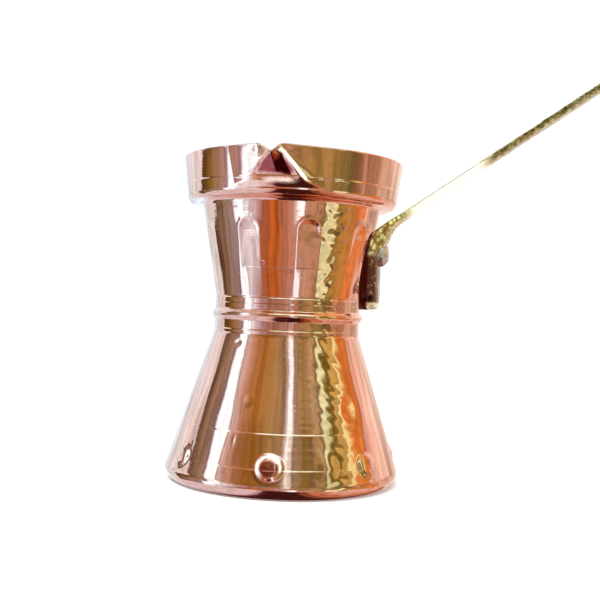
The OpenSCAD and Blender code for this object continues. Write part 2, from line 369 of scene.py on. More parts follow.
def revolve(line, columns, with_rings):
    """Grid points of a turned outline with the pot's relief, rows from the base to the rim."""
    phi = np.linspace(0, 2 * math.pi, columns, endpoint=False)[None, :]
    r, z = line[:, :1], line[:, 1:]
    change = relief(phi, np.maximum(r, 5.0), z)
    if with_rings:
        facing = 0.12 + 0.88 * np.exp(-((turned(phi, 14) / math.radians(34)) ** 2))
        strength = np.where(np.abs(z - BEAD_HEIGHT) < BEAD_HALF, 1, facing)
        change = change + ring_relief(z) * (r > 20) * strength
    change = change * smooth_step(24.0, 30.0, r + 100 * (z > 6))
    out = np.maximum(r + change, 0.0)
    side = lip_side(phi, z)
    notch = np.clip(1 - np.abs(side) / np.where(side > 0, 2.8, 4.4), 0, 1)
    dip = LIP_DIP * notch**1.1 * smooth_step(96.0, 104.5, z)
    uneven = 0.16 * np.cos(phi - 0.5) + 0.1 * np.cos(3 * phi + 1.0) - 0.26
    height = z - dip + uneven * smooth_step(96.0, 104.5, z)
    return np.stack([out * np.sin(phi), -out * np.cos(phi), np.broadcast_to(height, out.shape)], -1)


def shell(name, outside, inside, columns, rings):
    """A closed shell between two outlines that both run from the base's centre to the rim."""
    outer = revolve(outside, columns, rings)
    inner = revolve(inside, columns, False)[::-1]
    top, back = outer[-1], inner[0]
    rim_round = 0.3
    lifted = [
        top * (1 - t) + back * t + np.array([0, 0, rim_round * math.sin(math.pi * t)])
        for t in (0.12, 0.5, 0.88)
    ]
    grid = np.concatenate([outer, np.stack(lifted), inner])
    rows = grid.shape[0]
    verts = grid.reshape(-1, 3)
    made = make_object(name, verts, grid_faces(rows, columns))
    if rings:
        # Painted highlights and painted shade for the copper, kept on the outer rows as a point attribute
        phi = np.linspace(0, 2 * math.pi, columns, endpoint=False)[None, :]
        painted_level = np.zeros(grid.shape[:2])
        painted_level[:len(outer)] = painted_sheen_and_shade(phi, outside[:, 1:])
        made.data.attributes.new("painted_sheen_and_shade", "FLOAT", "POINT").data.foreach_set("value", painted_level.ravel())
    return recalculated(made)


# ---------------------------------------------------------------- the handle
BAR_RISE = math.radians(35.0)
BAR_ROOT = (30.4, 83.0)
BAR_THICK, PLATE_THICK = 2.2, 6.4
PLATE_HALF, BAR_HALF, EYE_RADIUS, HOLE_RADIUS = 7.0, 3.5, 7.0, 2.5
PLATE_BOTTOM = 57.0
BAR_LENGTH = 145.0
BEND_LENGTH = 5.0
UPPER_RIVET, LOWER_RIVET = 75.5, 63.5
PLATE_BACK = neck_radius(LOWER_RIVET) - 0.75
BAR_TOP = Vector(BAR_ROOT) + Vector((-math.sin(BAR_RISE), math.cos(BAR_RISE))) * BAR_THICK / 2


def handle_path():
    """Stations along the strip's back and top face: distance, place and direction."""
    up = Vector((0, 1))
    out = Vector((1, 0))
    along = Vector((math.cos(BAR_RISE), math.sin(BAR_RISE)))
    foot = Vector((PLATE_BACK, PLATE_BOTTOM))
    corner_gap = (BAR_TOP - foot).dot(out) / along.dot(out)
    corner = BAR_TOP - along * corner_gap
    plate_length = (corner - foot).dot(up)
    bar_length = BAR_LENGTH + corner_gap
    total = plate_length + bar_length
    gaps = np.full(420, total / 420)
    s = np.concatenate([[0], np.cumsum(gaps)])
    ends = np.array([0.05, 0.15, 0.35, 0.6, 1.0, 1.5])
    s = np.unique(np.concatenate([s, ends, total - ends]))
    rows = []
    for x in s:
        if x < plate_length - BEND_LENGTH:
            place, way = foot + up * x, up
        elif x > plate_length + BEND_LENGTH:
            place, way = corner + along * (x - plate_length), along
        else:
            t = (x - plate_length + BEND_LENGTH) / (2 * BEND_LENGTH)
            a, b = corner - up * BEND_LENGTH, corner + along * BEND_LENGTH
            place = a * (1 - t) ** 2 + corner * 2 * t * (1 - t) + b * t * t
            way = (up * (1 - t) + along * t).normalized()
        rows.append((x, place, way))
    return rows, plate_length, total


def strip_half_width(x, plate_length, total):
    """Half the strip's width at a distance from its lower end."""
    eye = total - EYE_RADIUS
    if x < PLATE_HALF:
        return math.sqrt(max(0.0, PLATE_HALF**2 - (PLATE_HALF - x) ** 2))
    if x > eye:
        return math.sqrt(max(0.0, EYE_RADIUS**2 - (x - eye) ** 2))
    from_bend = x - plate_length
    narrow = float(smooth_step(7.0, 21.0, from_bend))
    width = PLATE_HALF * (1 - narrow) + BAR_HALF * narrow
    width += 1.2 * float(smooth_step(45.0, eye - plate_length - 12, from_bend))
    near_eye = math.sqrt(max(0.0, EYE_RADIUS**2 - min(eye - x, EYE_RADIUS) ** 2))
    blend = float(smooth_step(eye - 11.0, eye - 4.0, x))
    return max(width, near_eye * blend)


def strip_thickness(x, plate_length, total):
    """The strip's thickness at a distance from its lower end, eased at both ends."""
    from_bend = x - plate_length
    thin = float(smooth_step(3.5, 13.0, from_bend))
    thick = PLATE_THICK * (1 - thin) + BAR_THICK * thin
    end = min(x, total - x)
    rounding = math.sqrt(max(0.0, 1 - max(0.0, 1 - end / 1.1) ** 2))
    return thick * (0.35 + 0.65 * rounding)


def make_handle():
    """The forged strip: a thick foot, a bend, a long bar and a flattened, drilled end."""
    stations, plate_length, total = handle_path()
    columns = 64
    angle = np.linspace(0, 2 * math.pi, columns, endpoint=False)
    rng = np.random.default_rng(21)
    phases = rng.uniform(0, 2 * math.pi, (12, 3))
    step_at = plate_length + 44.0
    verts = []
    for x, place, way in stations:
        half = max(strip_half_width(x, plate_length, total), 0.02)
        thick = strip_thickness(x, plate_length, total)
        power = 2 / 5.5
        side = np.sign(np.cos(angle)) * np.abs(np.cos(angle)) ** power
        face = np.sign(np.sin(angle)) * np.abs(np.sin(angle)) ** power
        crown = 1 - 0.12 * side**2
        hammered = float(smooth_step(step_at, step_at + 1.2, x))
        bumps = sum(
            np.cos(p[0] + x * (0.35 + 0.13 * k))
            * np.cos(p[1] + side * half * (0.5 + 0.11 * k) + face * 1.3)
            for k, p in enumerate(phases)
        )
        uneven = 0.016 * bumps * (0.35 + 1.0 * hammered)
        waist = 1 - 0.12 * math.exp(-(((x - step_at) / 0.8) ** 2)) + 0.05 * hammered
        normal = Vector((way.y, -way.x))
        out = thick / 2 + face * crown * thick / 2 * waist + uneven * np.sign(face)
        wide = side * half * (1 - 0.04 * math.exp(-(((x - step_at) / 0.8) ** 2)))
        px = place.x + normal.x * out
        pz = place.y + normal.y * out
        neck = neck_radius(np.maximum(pz, WAIST_TOP)) + 0.06
        px = np.where(pz < COLLAR_BOTTOM, np.maximum(px, np.sqrt(neck**2 - wide**2)), px)
        verts.append(np.stack([px, wide, pz], 1))
    rows = len(verts)
    verts = np.concatenate(verts)
    faces = grid_faces(rows, columns)
    faces.append(list(range(columns))[::-1])
    faces.append(list(range((rows - 1) * columns, rows * columns)))
    handle = recalculated(make_object("forged_handle", verts, faces))
    drill_eye(handle, stations, total)
    return handle


def drill_eye(handle, stations, total):
    """Cuts the hanging hole, with its edges eased, through the flattened end."""
    eye = total - EYE_RADIUS
    _, place, way = min(stations, key=lambda row: abs(row[0] - eye))
    bm = bmesh.new()
    rings = []
    outline = ((-3.0, 1.7), (-1.25, 0.35), (-0.75, 0.0), (0.75, 0.0), (1.25, 0.35), (3.0, 1.7))
    normal = Vector((way.y, 0, -way.x))
    along = Vector((way.x, 0, way.y))
    centre = Vector((place.x, 0, place.y)) + normal * BAR_THICK / 2
    for depth, wider in outline:
        ring = []
        for k in range(48):
            a = 2 * math.pi * k / 48
            radius = HOLE_RADIUS + wider
            spoke = along * math.cos(a) + Vector((0, 1, 0)) * math.sin(a)
            ring.append(bm.verts.new((centre + normal * depth + spoke * radius) * MM))
        rings.append(ring)
    for lower, upper in zip(rings, rings[1:]):
        for k in range(48):
            bm.faces.new((lower[k], lower[(k + 1) % 48], upper[(k + 1) % 48], upper[k]))
    bm.faces.new(rings[0][::-1])
    bm.faces.new(rings[-1])
    bmesh.ops.recalc_face_normals(bm, faces=bm.faces)
    mesh = bpy.data.meshes.new("eye_cutter")
    bm.to_mesh(mesh)
    bm.free()
    cutter = bpy.data.objects.new("eye_cutter", mesh)
    scene.collection.objects.link(cutter)
    cut = handle.modifiers.new("eye", "BOOLEAN")
    cut.operation, cut.object, cut.solver = "DIFFERENCE", cutter, "EXACT"
    bpy.context.view_layer.update()
    evaluated = handle.evaluated_get(bpy.context.evaluated_depsgraph_get())
    drilled = bpy.data.meshes.new_from_object(evaluated)
    handle.modifiers.clear()
    handle.data = drilled
    bpy.data.objects.remove(cutter)
    drilled.polygons.foreach_set("use_smooth", [True] * len(drilled.polygons))


# ---------------------------------------------------------------- the rivets
def make_rivet(name, height, outline, seed, roughness):
    """A turned rivet on the neck: outline is (radius, distance from the pot's axis) from tail to head."""
    line = rounded_line(outline, 0.1)
    line = resample(line, lambda r, z: np.full_like(r, 0.16))
    columns = 64
    angle = np.linspace(0, 2 * math.pi, columns, endpoint=False)[None, :]
    rng = np.random.default_rng(seed)
    r, d = line[:, :1], line[:, 1:]
    flats = np.zeros((len(line), columns))
    for _ in range(10):
        a, b = rng.uniform(0.4, 1.6, 2)
        phase = rng.uniform(0, 2 * math.pi, 2)
        flats += np.cos(a * r * np.cos(angle) + phase[0]) * np.cos(b * r * np.sin(angle) + phase[1])
    size = roughness * smooth_step(0.0, 0.6, r)
    outwards = np.where(d > line[:, 1].mean(), 1.0, -1.0)
    slope = math.tan(NECK_ANGLE) * r * np.cos(angle) * smooth_step(PLATE_BACK - 1, PLATE_BACK - 4, d)
    depth = d + slope + outwards * size * flats
    out = np.stack([r * np.cos(angle) + 0 * flats, r * np.sin(angle) + 0 * flats, depth], -1)
    basis = np.array([(0, 0, 1), (0, 1, 0), (1, 0, 0)])
    verts = out.reshape(-1, 3) @ basis + np.array((0, 0, height))
    return recalculated(make_object(name, verts, grid_faces(len(line), columns)))


INSIDE = COPPER_WALL + TIN_WALL
SHANK = 2.0
HEAD_RADIUS, HEAD_HEIGHT = 4.25, 2.9
PLATE_FACE = PLATE_BACK + PLATE_THICK
UPPER_INSIDE, LOWER_INSIDE = neck_radius(UPPER_RIVET) - INSIDE, neck_radius(LOWER_RIVET) - INSIDE
UPPER_OUTLINE = [
    (0, UPPER_INSIDE - 1.1, 0),
    (2.2, UPPER_INSIDE - 0.95, 1.5),
    (3.3, UPPER_INSIDE + 0.1, 0.4),
    (SHANK, UPPER_INSIDE + 0.2, 0.1),
    (SHANK, PLATE_FACE - 0.4, 0.1),
    (HEAD_RADIUS, PLATE_FACE - 0.35, 0.3),
    (HEAD_RADIUS - 0.2, PLATE_FACE + 1.1, 1.0),
    (2.6, PLATE_FACE + HEAD_HEIGHT - 0.3, 1.8),
    (0, PLATE_FACE + HEAD_HEIGHT, 0),
]
LOWER_OUTLINE = [
    (0, LOWER_INSIDE - 1.1, 0),
    (2.2, LOWER_INSIDE - 0.95, 1.5),
    (3.3, LOWER_INSIDE + 0.1, 0.4),
    (SHANK, LOWER_INSIDE + 0.2, 0.1),
    (SHANK, PLATE_FACE - 1.2, 0.1),
    (3.1, PLATE_FACE - 0.05, 0.05),
    (3.0, PLATE_FACE + 0.09, 0.05),
    (0, PLATE_FACE + 0.09, 0),
]


# ---------------------------------------------------------------- materials
class Nodes:
    """Short ways to build a material's nodes."""

    def __init__(self, name):
        self.material = bpy.data.materials.new(name)
        self.material.use_nodes = True
        self.tree = self.material.node_tree
        self.shader = self.tree.nodes["Principled BSDF"]
        self.place = self.tree.nodes.new("ShaderNodeTexCoord").outputs["Object"]

    def node(self, kind, **values):
        made = self.tree.nodes.new(kind)
        for key, value in values.items():
            if key in made.inputs:
                made.inputs[key].default_value = value
            else:
                setattr(made, key, value)
        return made

    def link(self, output, target):
        self.tree.links.new(output, target)
        return output

    def mapped(self, scale, offset=(0, 0, 0)):
        made = self.node("ShaderNodeMapping")
        made.inputs["Scale"].default_value = scale
        made.inputs["Location"].default_value = offset
        self.link(self.place, made.inputs["Vector"])
        return made.outputs["Vector"]

    def noise(self, scale, detail=3.0, stretch=(1, 1, 1), offset=(0, 0, 0), rough=0.55):
        made = self.node("ShaderNodeTexNoise", Scale=scale, Detail=detail, Roughness=rough)
        self.link(self.mapped(stretch, offset), made.inputs["Vector"])
        return made.outputs["Fac"]

    def ramp(self, value, *stops):
        made = self.node("ShaderNodeValToRGB")
        stack = made.color_ramp.elements
        while len(stack) < len(stops):
            stack.new(0.5)
        for element, (at, colour) in zip(stack, stops):
            element.position = at
            element.color = (*colour, 1) if hasattr(colour, "__len__") else (colour, colour, colour, 1)
        self.link(value, made.inputs["Fac"])
        return made.outputs["Color"]

    def mix(self, factor, a, b, blend="MIX"):
        made = self.node("ShaderNodeMix", data_type="RGBA", blend_type=blend)
        for socket, value in (("Factor", factor), ("A", a), ("B", b)):
            target = [i for i in made.inputs if i.name == socket and i.type in ("RGBA", "VALUE")]
            target = target[0] if socket == "Factor" else [i for i in target if i.type == "RGBA"][0]
            if hasattr(value, "is_output"):
                self.link(value, target)
            else:
                target.default_value = value if socket == "Factor" else (*value, 1)
        return [o for o in made.outputs if o.type == "RGBA"][0]

    def math(self, operation, a, b=0.0):
        made = self.node("ShaderNodeMath", operation=operation)
        for target, value in zip(made.inputs, (a, b)):
            if hasattr(value, "is_output"):
                self.link(value, target)
            else:
                target.default_value = value
        return made.outputs["Value"]

    def axis(self, name):
        """One coordinate of the shaded place, in millimetres."""
        split = self.node("ShaderNodeSeparateXYZ")
        self.link(self.place, split.inputs["Vector"])
        return self.math("DIVIDE", split.outputs[name], MM)

    def step(self, value, low, high):
        """Runs smoothly from 0 at low to 1 at high."""
        made = self.node("ShaderNodeMapRange", interpolation_type="SMOOTHSTEP")
        made.inputs["From Min"].default_value = low
        made.inputs["From Max"].default_value = high
        self.link(value, made.inputs["Value"])
        return made.outputs["Result"]

    def bump(self, height, strength, distance, normal=None):
        made = self.node("ShaderNodeBump", Strength=strength, Distance=distance)
        self.link(height, made.inputs["Height"])
        if normal is not None:
            self.link(normal, made.inputs["Normal"])
        return made.outputs["Normal"]


def copper_material():
    n = Nodes("polished_copper")
    n.shader.inputs["Metallic"].default_value = 1.0
    warm = n.noise(26, 2.0, offset=(0.3, 0.1, 0.0))
    base = n.ramp(warm, (0.3, (0.90, 0.50, 0.36)), (0.7, (0.95, 0.58, 0.46)))
    stain_and_shade = n.noise(60, 5.0, stretch=(1, 1, 0.6), rough=0.7)
    stain_and_shade = n.ramp(stain_and_shade, (0.56, 0.0), (0.78, 1.0))
    base = n.mix(n.math("MULTIPLY", stain_and_shade, 0.35), base, (0.60, 0.30, 0.20))
    # Painted light: from the point attribute, broken up by noise, painted shade in dark maroon and painted
    # highlights in a pale colour
    painted_level = n.node("ShaderNodeAttribute", attribute_name="painted_sheen_and_shade").outputs["Fac"]
    cloud = n.noise(420, 4.0, rough=0.7)
    patchy = n.math("MULTIPLY", painted_level, n.math("ADD", cloud, 0.55))
    pale, dark = n.step(patchy, 0.08, 0.75), n.step(patchy, -0.12, -0.62)
    base = n.mix(dark, base, (0.42, 0.09, 0.09))
    base = n.mix(pale, base, (1.0, 0.92, 0.88))
    n.link(base, n.shader.inputs["Base Color"])
    # Painted highlights are made less metallic so their pale colour shows
    n.link(n.math("SUBTRACT", 1.0, n.math("MULTIPLY", pale, 0.72)), n.shader.inputs["Metallic"])
    streaks = n.noise(16, 4.0, stretch=(1, 1, 40), rough=0.6)
    smears = n.noise(45, 3.0, rough=0.6)
    rough = n.math("MULTIPLY_ADD", smears, 0.05)
    rough.node.inputs[2].default_value = 0.012
    n.link(rough, n.shader.inputs["Roughness"])
    turning = n.bump(streaks, 0.035, 0.0004)
    pits = n.ramp(n.noise(900, 2.0), (0.24, 0.0), (0.36, 1.0))
    n.link(n.bump(pits, 0.05, 0.0002, turning), n.shader.inputs["Normal"])
    return n.material


def tin_material():
    n = Nodes("wiped_tin")
    n.shader.inputs["Metallic"].default_value = 1.0
    wipe = n.noise(55, 5.0, stretch=(1, 1, 2.5), rough=0.65)
    n.link(n.ramp(wipe, (0.3, (0.60, 0.58, 0.55)), (0.7, (0.80, 0.79, 0.77))), n.shader.inputs["Base Color"])
    n.link(n.ramp(wipe, (0.3, 0.42), (0.75, 0.24)), n.shader.inputs["Roughness"])
    swirl = n.noise(220, 3.0, stretch=(1, 1, 1.6))
    n.link(n.bump(swirl, 0.18, 0.0006), n.shader.inputs["Normal"])
    return n.material


def brass_material():
    """Brass: a foot painted dark for shade and dark reflection, with painted glints; hammer facets at the
    bend with painted facet highlights; a painted cream highlight on the near bar; and an olive, speckled
    bar.
    """
    n = Nodes("forged_brass")
    x, z = n.axis("X"), n.axis("Z")
    tone = n.noise(90, 4.0, rough=0.65)
    fine = n.noise(950, 3.0, rough=0.7)
    base = n.ramp(
        tone, (0.3, (0.55, 0.50, 0.20)), (0.55, (0.78, 0.72, 0.36)), (0.75, (0.90, 0.86, 0.55))
    )
    far = n.step(x, 60.0, 66.0)
    speckled = n.ramp(
        fine, (0.36, (0.10, 0.09, 0.04)), (0.48, (0.42, 0.44, 0.20)), (0.62, (0.95, 0.97, 0.60))
    )
    base = n.mix(n.math("MULTIPLY", far, 0.85), base, speckled)
    # Painted highlight on the near bar: a cream band below its top edge, and an olive painted shade along
    # the top edge
    above = n.math("MULTIPLY", n.math("SUBTRACT", z, BAR_TOP.y), math.cos(BAR_RISE))
    beyond = n.math("MULTIPLY", n.math("SUBTRACT", x, BAR_TOP.x), math.sin(BAR_RISE))
    across = n.math("SUBTRACT", above, beyond)
    near = n.math("MULTIPLY", n.step(x, 37.0, 42.0), n.math("SUBTRACT", 1.0, far))
    cream_highlight = n.math("MULTIPLY", near, n.step(across, -0.25, -0.75))
    base = n.mix(n.math("MULTIPLY", near, n.step(across, -0.75, -0.25)), base, (0.42, 0.33, 0.10))
    base = n.mix(cream_highlight, base, (1.0, 0.93, 0.76))
    # Hammer facets at the bend: the dents are bump; their colour, bright at each facet's middle and dark at
    # its edge, is painted highlight and painted shade
    facets = n.node("ShaderNodeTexVoronoi", feature="F1", Scale=620.0, Randomness=1.0)
    n.link(n.mapped((1, 1, 0.8)), facets.inputs["Vector"])
    facet_tone = n.ramp(n.math("ADD", facets.outputs["Distance"], n.math("MULTIPLY", fine, 0.4)),
                        (0.35, (1.0, 0.98, 0.50)), (0.55, (0.80, 0.70, 0.24)), (0.78, (0.30, 0.20, 0.05)))
    bend = n.math("MULTIPLY", n.step(z, 73.0, 76.5), n.step(x, 41.0, 34.0))
    base = n.mix(bend, base, facet_tone)
    # Painted shade and dark reflection on the foot: dark brown with painted glints, below the bend and on
    # the half against the neck
    glints = n.ramp(n.noise(760, 3.0, rough=0.7), (0.56, 0.0), (0.68, 1.0))
    painted_dark_foot = n.mix(glints, (0.20, 0.10, 0.07), (0.85, 0.62, 0.36))
    lean = n.math("MAXIMUM", n.math("SUBTRACT", z, 76.0), 0.0)
    from_neck = n.math("SUBTRACT", x, n.math("MULTIPLY", lean, 0.2))
    # Painted shade: the half of the foot that faces the neck is near-black maroon
    inner = n.step(from_neck, PLATE_BACK + 3.6, PLATE_BACK + 3.0)
    painted_dark_foot = n.mix(inner, painted_dark_foot, (0.11, 0.015, 0.012))
    foot = n.math("MAXIMUM", n.step(z, 76.0, 73.5), inner)
    base = n.mix(foot, base, painted_dark_foot)
    # Painted highlight: the foot's lower end is a pale beige, less metallic
    tip = n.math("MULTIPLY", n.step(z, 60.0, 59.0), n.step(x, PLATE_BACK + 2.6, PLATE_BACK + 3.4))
    base = n.mix(tip, base, n.ramp(fine, (0.40, (0.30, 0.24, 0.10)), (0.58, (0.85, 0.76, 0.55))))
    n.link(base, n.shader.inputs["Base Color"])
    # Less metallic where highlights are painted: the cream band, the lower end and the bend's facets
    dull = n.math("MAXIMUM", n.math("MULTIPLY", cream_highlight, 0.75), n.math("MULTIPLY", tip, 0.8))
    dull = n.math("MAXIMUM", dull, n.math("MULTIPLY", bend, 0.35))
    n.link(n.math("SUBTRACT", 1.0, dull), n.shader.inputs["Metallic"])
    n.link(n.ramp(n.noise(160, 3.0), (0.3, 0.16), (0.75, 0.34)), n.shader.inputs["Roughness"])
    hammer = n.bump(n.noise(330, 2.0), 0.22, 0.0005)
    dents = n.bump(n.math("MULTIPLY", facets.outputs["Distance"], bend), 0.7, 0.0012, hammer)
    files = n.noise(420, 3.0, stretch=(0.25, 1, 0.25))
    n.link(n.bump(files, 0.14, 0.0003, dents), n.shader.inputs["Normal"])
    return n.material


def rivet_material():
    n = Nodes("hammered_rivet")
    n.shader.inputs["Metallic"].default_value = 1.0
    tone = n.noise(420, 4.0)
    n.link(n.ramp(tone, (0.3, (0.60, 0.59, 0.63)), (0.7, (0.92, 0.91, 0.93))), n.shader.inputs["Base Color"])
    n.link(n.ramp(tone, (0.3, 0.45), (0.7, 0.27)), n.shader.inputs["Roughness"])
    n.link(n.bump(n.noise(700, 3.0), 0.25, 0.0004), n.shader.inputs["Normal"])
    return n.material


# ---------------------------------------------------------------- studio
CAMERA_AZIMUTH = math.radians(12.0)
CAMERA_DISTANCE = 0.300
CAMERA_HEIGHT = 0.0588
CAMERA_ROLL = math.radians(2.5)
CAMERA_PAN = math.radians(0.77)
CAMERA_TILT = math.radians(0.10)
LENS, SENSOR = 53.9, 36.0


def make_camera():
    """The camera at the photo's viewing angle."""
    data = bpy.data.cameras.new("photo_camera")
    data.lens, data.sensor_width = LENS, SENSOR
    camera = bpy.data.objects.new("photo_camera", data)
    scene.collection.objects.link(camera)
    back = Vector((math.sin(CAMERA_AZIMUTH), -math.cos(CAMERA_AZIMUTH), 0))
    camera.location = back * CAMERA_DISTANCE + Vector((0, 0, CAMERA_HEIGHT))
    facing = CAMERA_AZIMUTH - CAMERA_PAN
    camera.rotation_mode = "XYZ"
    turn = Matrix.Rotation(facing, 3, "Z") @ Matrix.Rotation(math.pi / 2 + CAMERA_TILT, 3, "X")
    turn = turn @ Matrix.Rotation(CAMERA_ROLL, 3, "Z")
    camera.rotation_euler = turn.to_euler()
    data.clip_start, data.clip_end = 0.01, 50
    scene.camera = camera


# What the polished metal mirrors, by the angle from the camera's side, towards its right.
# ROOM is above eye level, SHELF a little below it, and TABLE lower still.
ROOM = (
    (-180, (0.90, 1.15, 1.35)),
    (-114, (0.88, 1.06, 1.24)),
    (-112, (0.12, 0.09, 0.07)),
    (-104, (0.21, 0.17, 0.12)),
    (-92, (0.36, 0.31, 0.24)),
    (-82, (0.42, 0.38, 0.46)),
    (-80, (1.25, 2.00, 2.60)),
    (-67, (1.25, 2.00, 2.60)),
    (-66, (0.80, 0.92, 1.05)),
    (-60, (0.70, 0.66, 0.70)),
    (-52, (0.56, 0.38, 0.28)),
    (-40, (0.46, 0.26, 0.09)),
    (-32, (0.39, 0.22, 0.05)),
    (-15, (0.42, 0.33, 0.14)),
    (1, (0.42, 0.34, 0.22)),
    (5.6, (1.35, 1.75, 2.10)),
    (10.4, (1.35, 1.75, 2.10)),
    (12.4, (0.50, 0.46, 0.38)),
    (26, (0.32, 0.26, 0.07)),
    (34, (0.44, 0.38, 0.22)),
    (42, (0.55, 0.50, 0.32)),
    (46.5, (0.28, 0.22, 0.06)),
    (48.5, (0.95, 1.35, 0.95)),
    (55, (0.88, 1.20, 0.75)),
    (58, (0.42, 0.46, 0.18)),
    (61, (0.16, 0.14, 0.02)),
    (66, (0.28, 0.24, 0.05)),
    (69, (0.62, 0.55, 0.18)),
    (76, (0.58, 0.50, 0.16)),
    (78, (1.00, 1.20, 0.60)),
    (82, (0.98, 1.05, 0.50)),
    (85, (0.80, 0.50, 0.18)),
    (92, (0.68, 0.25, 0.05)),
    (98, (0.84, 0.35, 0.08)),
    (106, (0.66, 0.28, 0.08)),
    (108.5, (0.88, 0.60, 0.50)),
    (114, (0.92, 0.68, 0.60)),
    (118, (0.74, 0.52, 0.50)),
    (123, (1.00, 0.82, 0.76)),
    (180, (1.04, 1.02, 0.95)),
)
SHELF = (
    (-180, (0.85, 1.10, 1.30)),
    (-115, (0.82, 1.04, 1.20)),
    (-114, (0.10, 0.07, 0.02)),
    (-98, (0.20, 0.13, 0.03)),
    (-93, (0.33, 0.27, 0.12)),
    (-82, (0.39, 0.31, 0.26)),
    (-73, (0.42, 0.38, 0.52)),
    (-71, (1.15, 1.85, 2.50)),
    (-58, (1.15, 1.80, 2.40)),
    (-50, (0.72, 0.82, 1.12)),
    (-40, (0.48, 0.42, 0.58)),
    (-30, (0.40, 0.25, 0.22)),
    (-4, (0.46, 0.30, 0.28)),
    (3, (0.60, 0.56, 0.62)),
    (9, (0.60, 0.40, 0.34)),
    (15, (0.46, 0.29, 0.19)),
    (21, (0.32, 0.26, 0.13)),
    (33, (0.46, 0.37, 0.17)),
    (39, (0.34, 0.28, 0.09)),
    (62, (0.20, 0.20, 0.08)),
    (68, (0.20, 0.13, 0.07)),
    (75, (0.33, 0.22, 0.13)),
    (81, (0.56, 0.41, 0.30)),
    (86, (0.42, 0.28, 0.18)),
    (99, (0.46, 0.34, 0.23)),
    (106, (0.68, 0.55, 0.42)),
    (116, (0.70, 0.60, 0.50)),
    (123, (0.55, 0.45, 0.34)),
    (180, (0.85, 0.80, 0.74)),
)
TABLE = (
    (-180, (0.85, 1.10, 1.30)),
    (-124, (0.84, 1.08, 1.24)),
    (-120, (0.10, 0.06, 0.04)),
    (-110, (0.22, 0.18, 0.12)),
    (-92, (0.35, 0.35, 0.35)),
    (-81, (0.36, 0.37, 0.52)),
    (-79, (1.20, 1.90, 2.60)),
    (-66, (1.20, 1.90, 2.60)),
    (-63, (0.74, 1.00, 1.35)),
    (-55, (0.70, 0.84, 1.12)),
    (-46, (0.55, 0.46, 0.54)),
    (-42, (0.44, 0.28, 0.24)),
    (-38, (0.44, 0.20, 0.12)),
    (-28, (0.58, 0.21, 0.06)),
    (-20, (0.50, 0.15, 0.02)),
    (-15, (0.54, 0.24, 0.11)),
    (-3, (0.52, 0.30, 0.23)),
    (4, (0.55, 0.38, 0.36)),
    (9, (1.45, 1.85, 2.30)),
    (15, (1.45, 1.85, 2.30)),
    (18, (0.56, 0.44, 0.38)),
    (30, (0.52, 0.36, 0.26)),
    (40, (0.50, 0.37, 0.22)),
    (43, (0.25, 0.18, 0.06)),
    (45, (0.95, 1.30, 0.90)),
    (61, (0.85, 1.10, 0.62)),
    (64, (0.40, 0.34, 0.10)),
    (74, (0.46, 0.31, 0.07)),
    (84, (0.58, 0.35, 0.10)),
    (93, (0.64, 0.30, 0.09)),
    (100, (0.80, 0.30, 0.09)),
    (109, (0.70, 0.30, 0.10)),
    (113, (0.80, 0.58, 0.50)),
    (180, (1.00, 0.90, 0.84)),
)
# The ceiling: a dark beam, a soft light over the front, and paler ends
CEILING = (
    (-180, (0.70, 0.72, 0.78)),
    (-60, (0.75, 0.72, 0.76)),
    (-38, (0.55, 0.30, 0.14)),
    (-30, (1.15, 1.70, 1.70)),
    (48, (1.15, 1.65, 1.50)),
    (60, (0.80, 0.60, 0.25)),
    (95, (0.75, 0.42, 0.16)),
    (125, (0.90, 0.75, 0.66)),
    (180, (0.70, 0.72, 0.78)),
)
# Seen in faces that look down, by how far sideways they mirror, as a share of 180: pale at the left,
# then the dark edge of a table, then warm light
UNDER = (
    (-180, (0.85, 0.95, 1.15)),
    (-70, (0.74, 0.80, 1.00)),
    (-52, (0.62, 0.52, 0.62)),
    (-42, (0.10, 0.03, 0.05)),
    (-25, (0.050, 0.012, 0.014)),
    (48, (0.060, 0.018, 0.014)),
    (58, (0.38, 0.14, 0.07)),
    (66, (0.14, 0.06, 0.03)),
    (76, (0.66, 0.30, 0.15)),
    (90, (0.50, 0.22, 0.13)),
    (120, (0.80, 0.50, 0.42)),
    (180, (0.85, 0.80, 0.75)),
)
RAMP_STOPS = 30
BORDER_HALF, BORDER_DARK = 1.1, 0.30
ROOM_BORDERS = (-83.5, -64.5, 3.8, 13.2, 47.4, 57.8, 76.9, 107.3)
SHELF_BORDERS = (-75.5, -56.5, 1.5, 11.5, 64.0, 84.0)
TABLE_BORDERS = (-82.0, -64.5, 6.6, 17.4, 43.8, 62.6)


def bordered(stops, borders):
    """The stops of a ramp with a thin dark line added at each border angle."""
    angles = [angle for angle, _ in stops]
    tints = np.array([tint for _, tint in stops])

    def tint_at(angle, shade=1.0):
        return angle, tuple(shade * float(np.interp(angle, angles, tints[:, k])) for k in range(3))

    out = [stop for stop in stops if all(abs(stop[0] - at) > BORDER_HALF for at in borders)]
    for at in borders:
        out += [tint_at(at - BORDER_HALF), tint_at(at, BORDER_DARK), tint_at(at + BORDER_HALF)]
    return tuple(sorted(out))


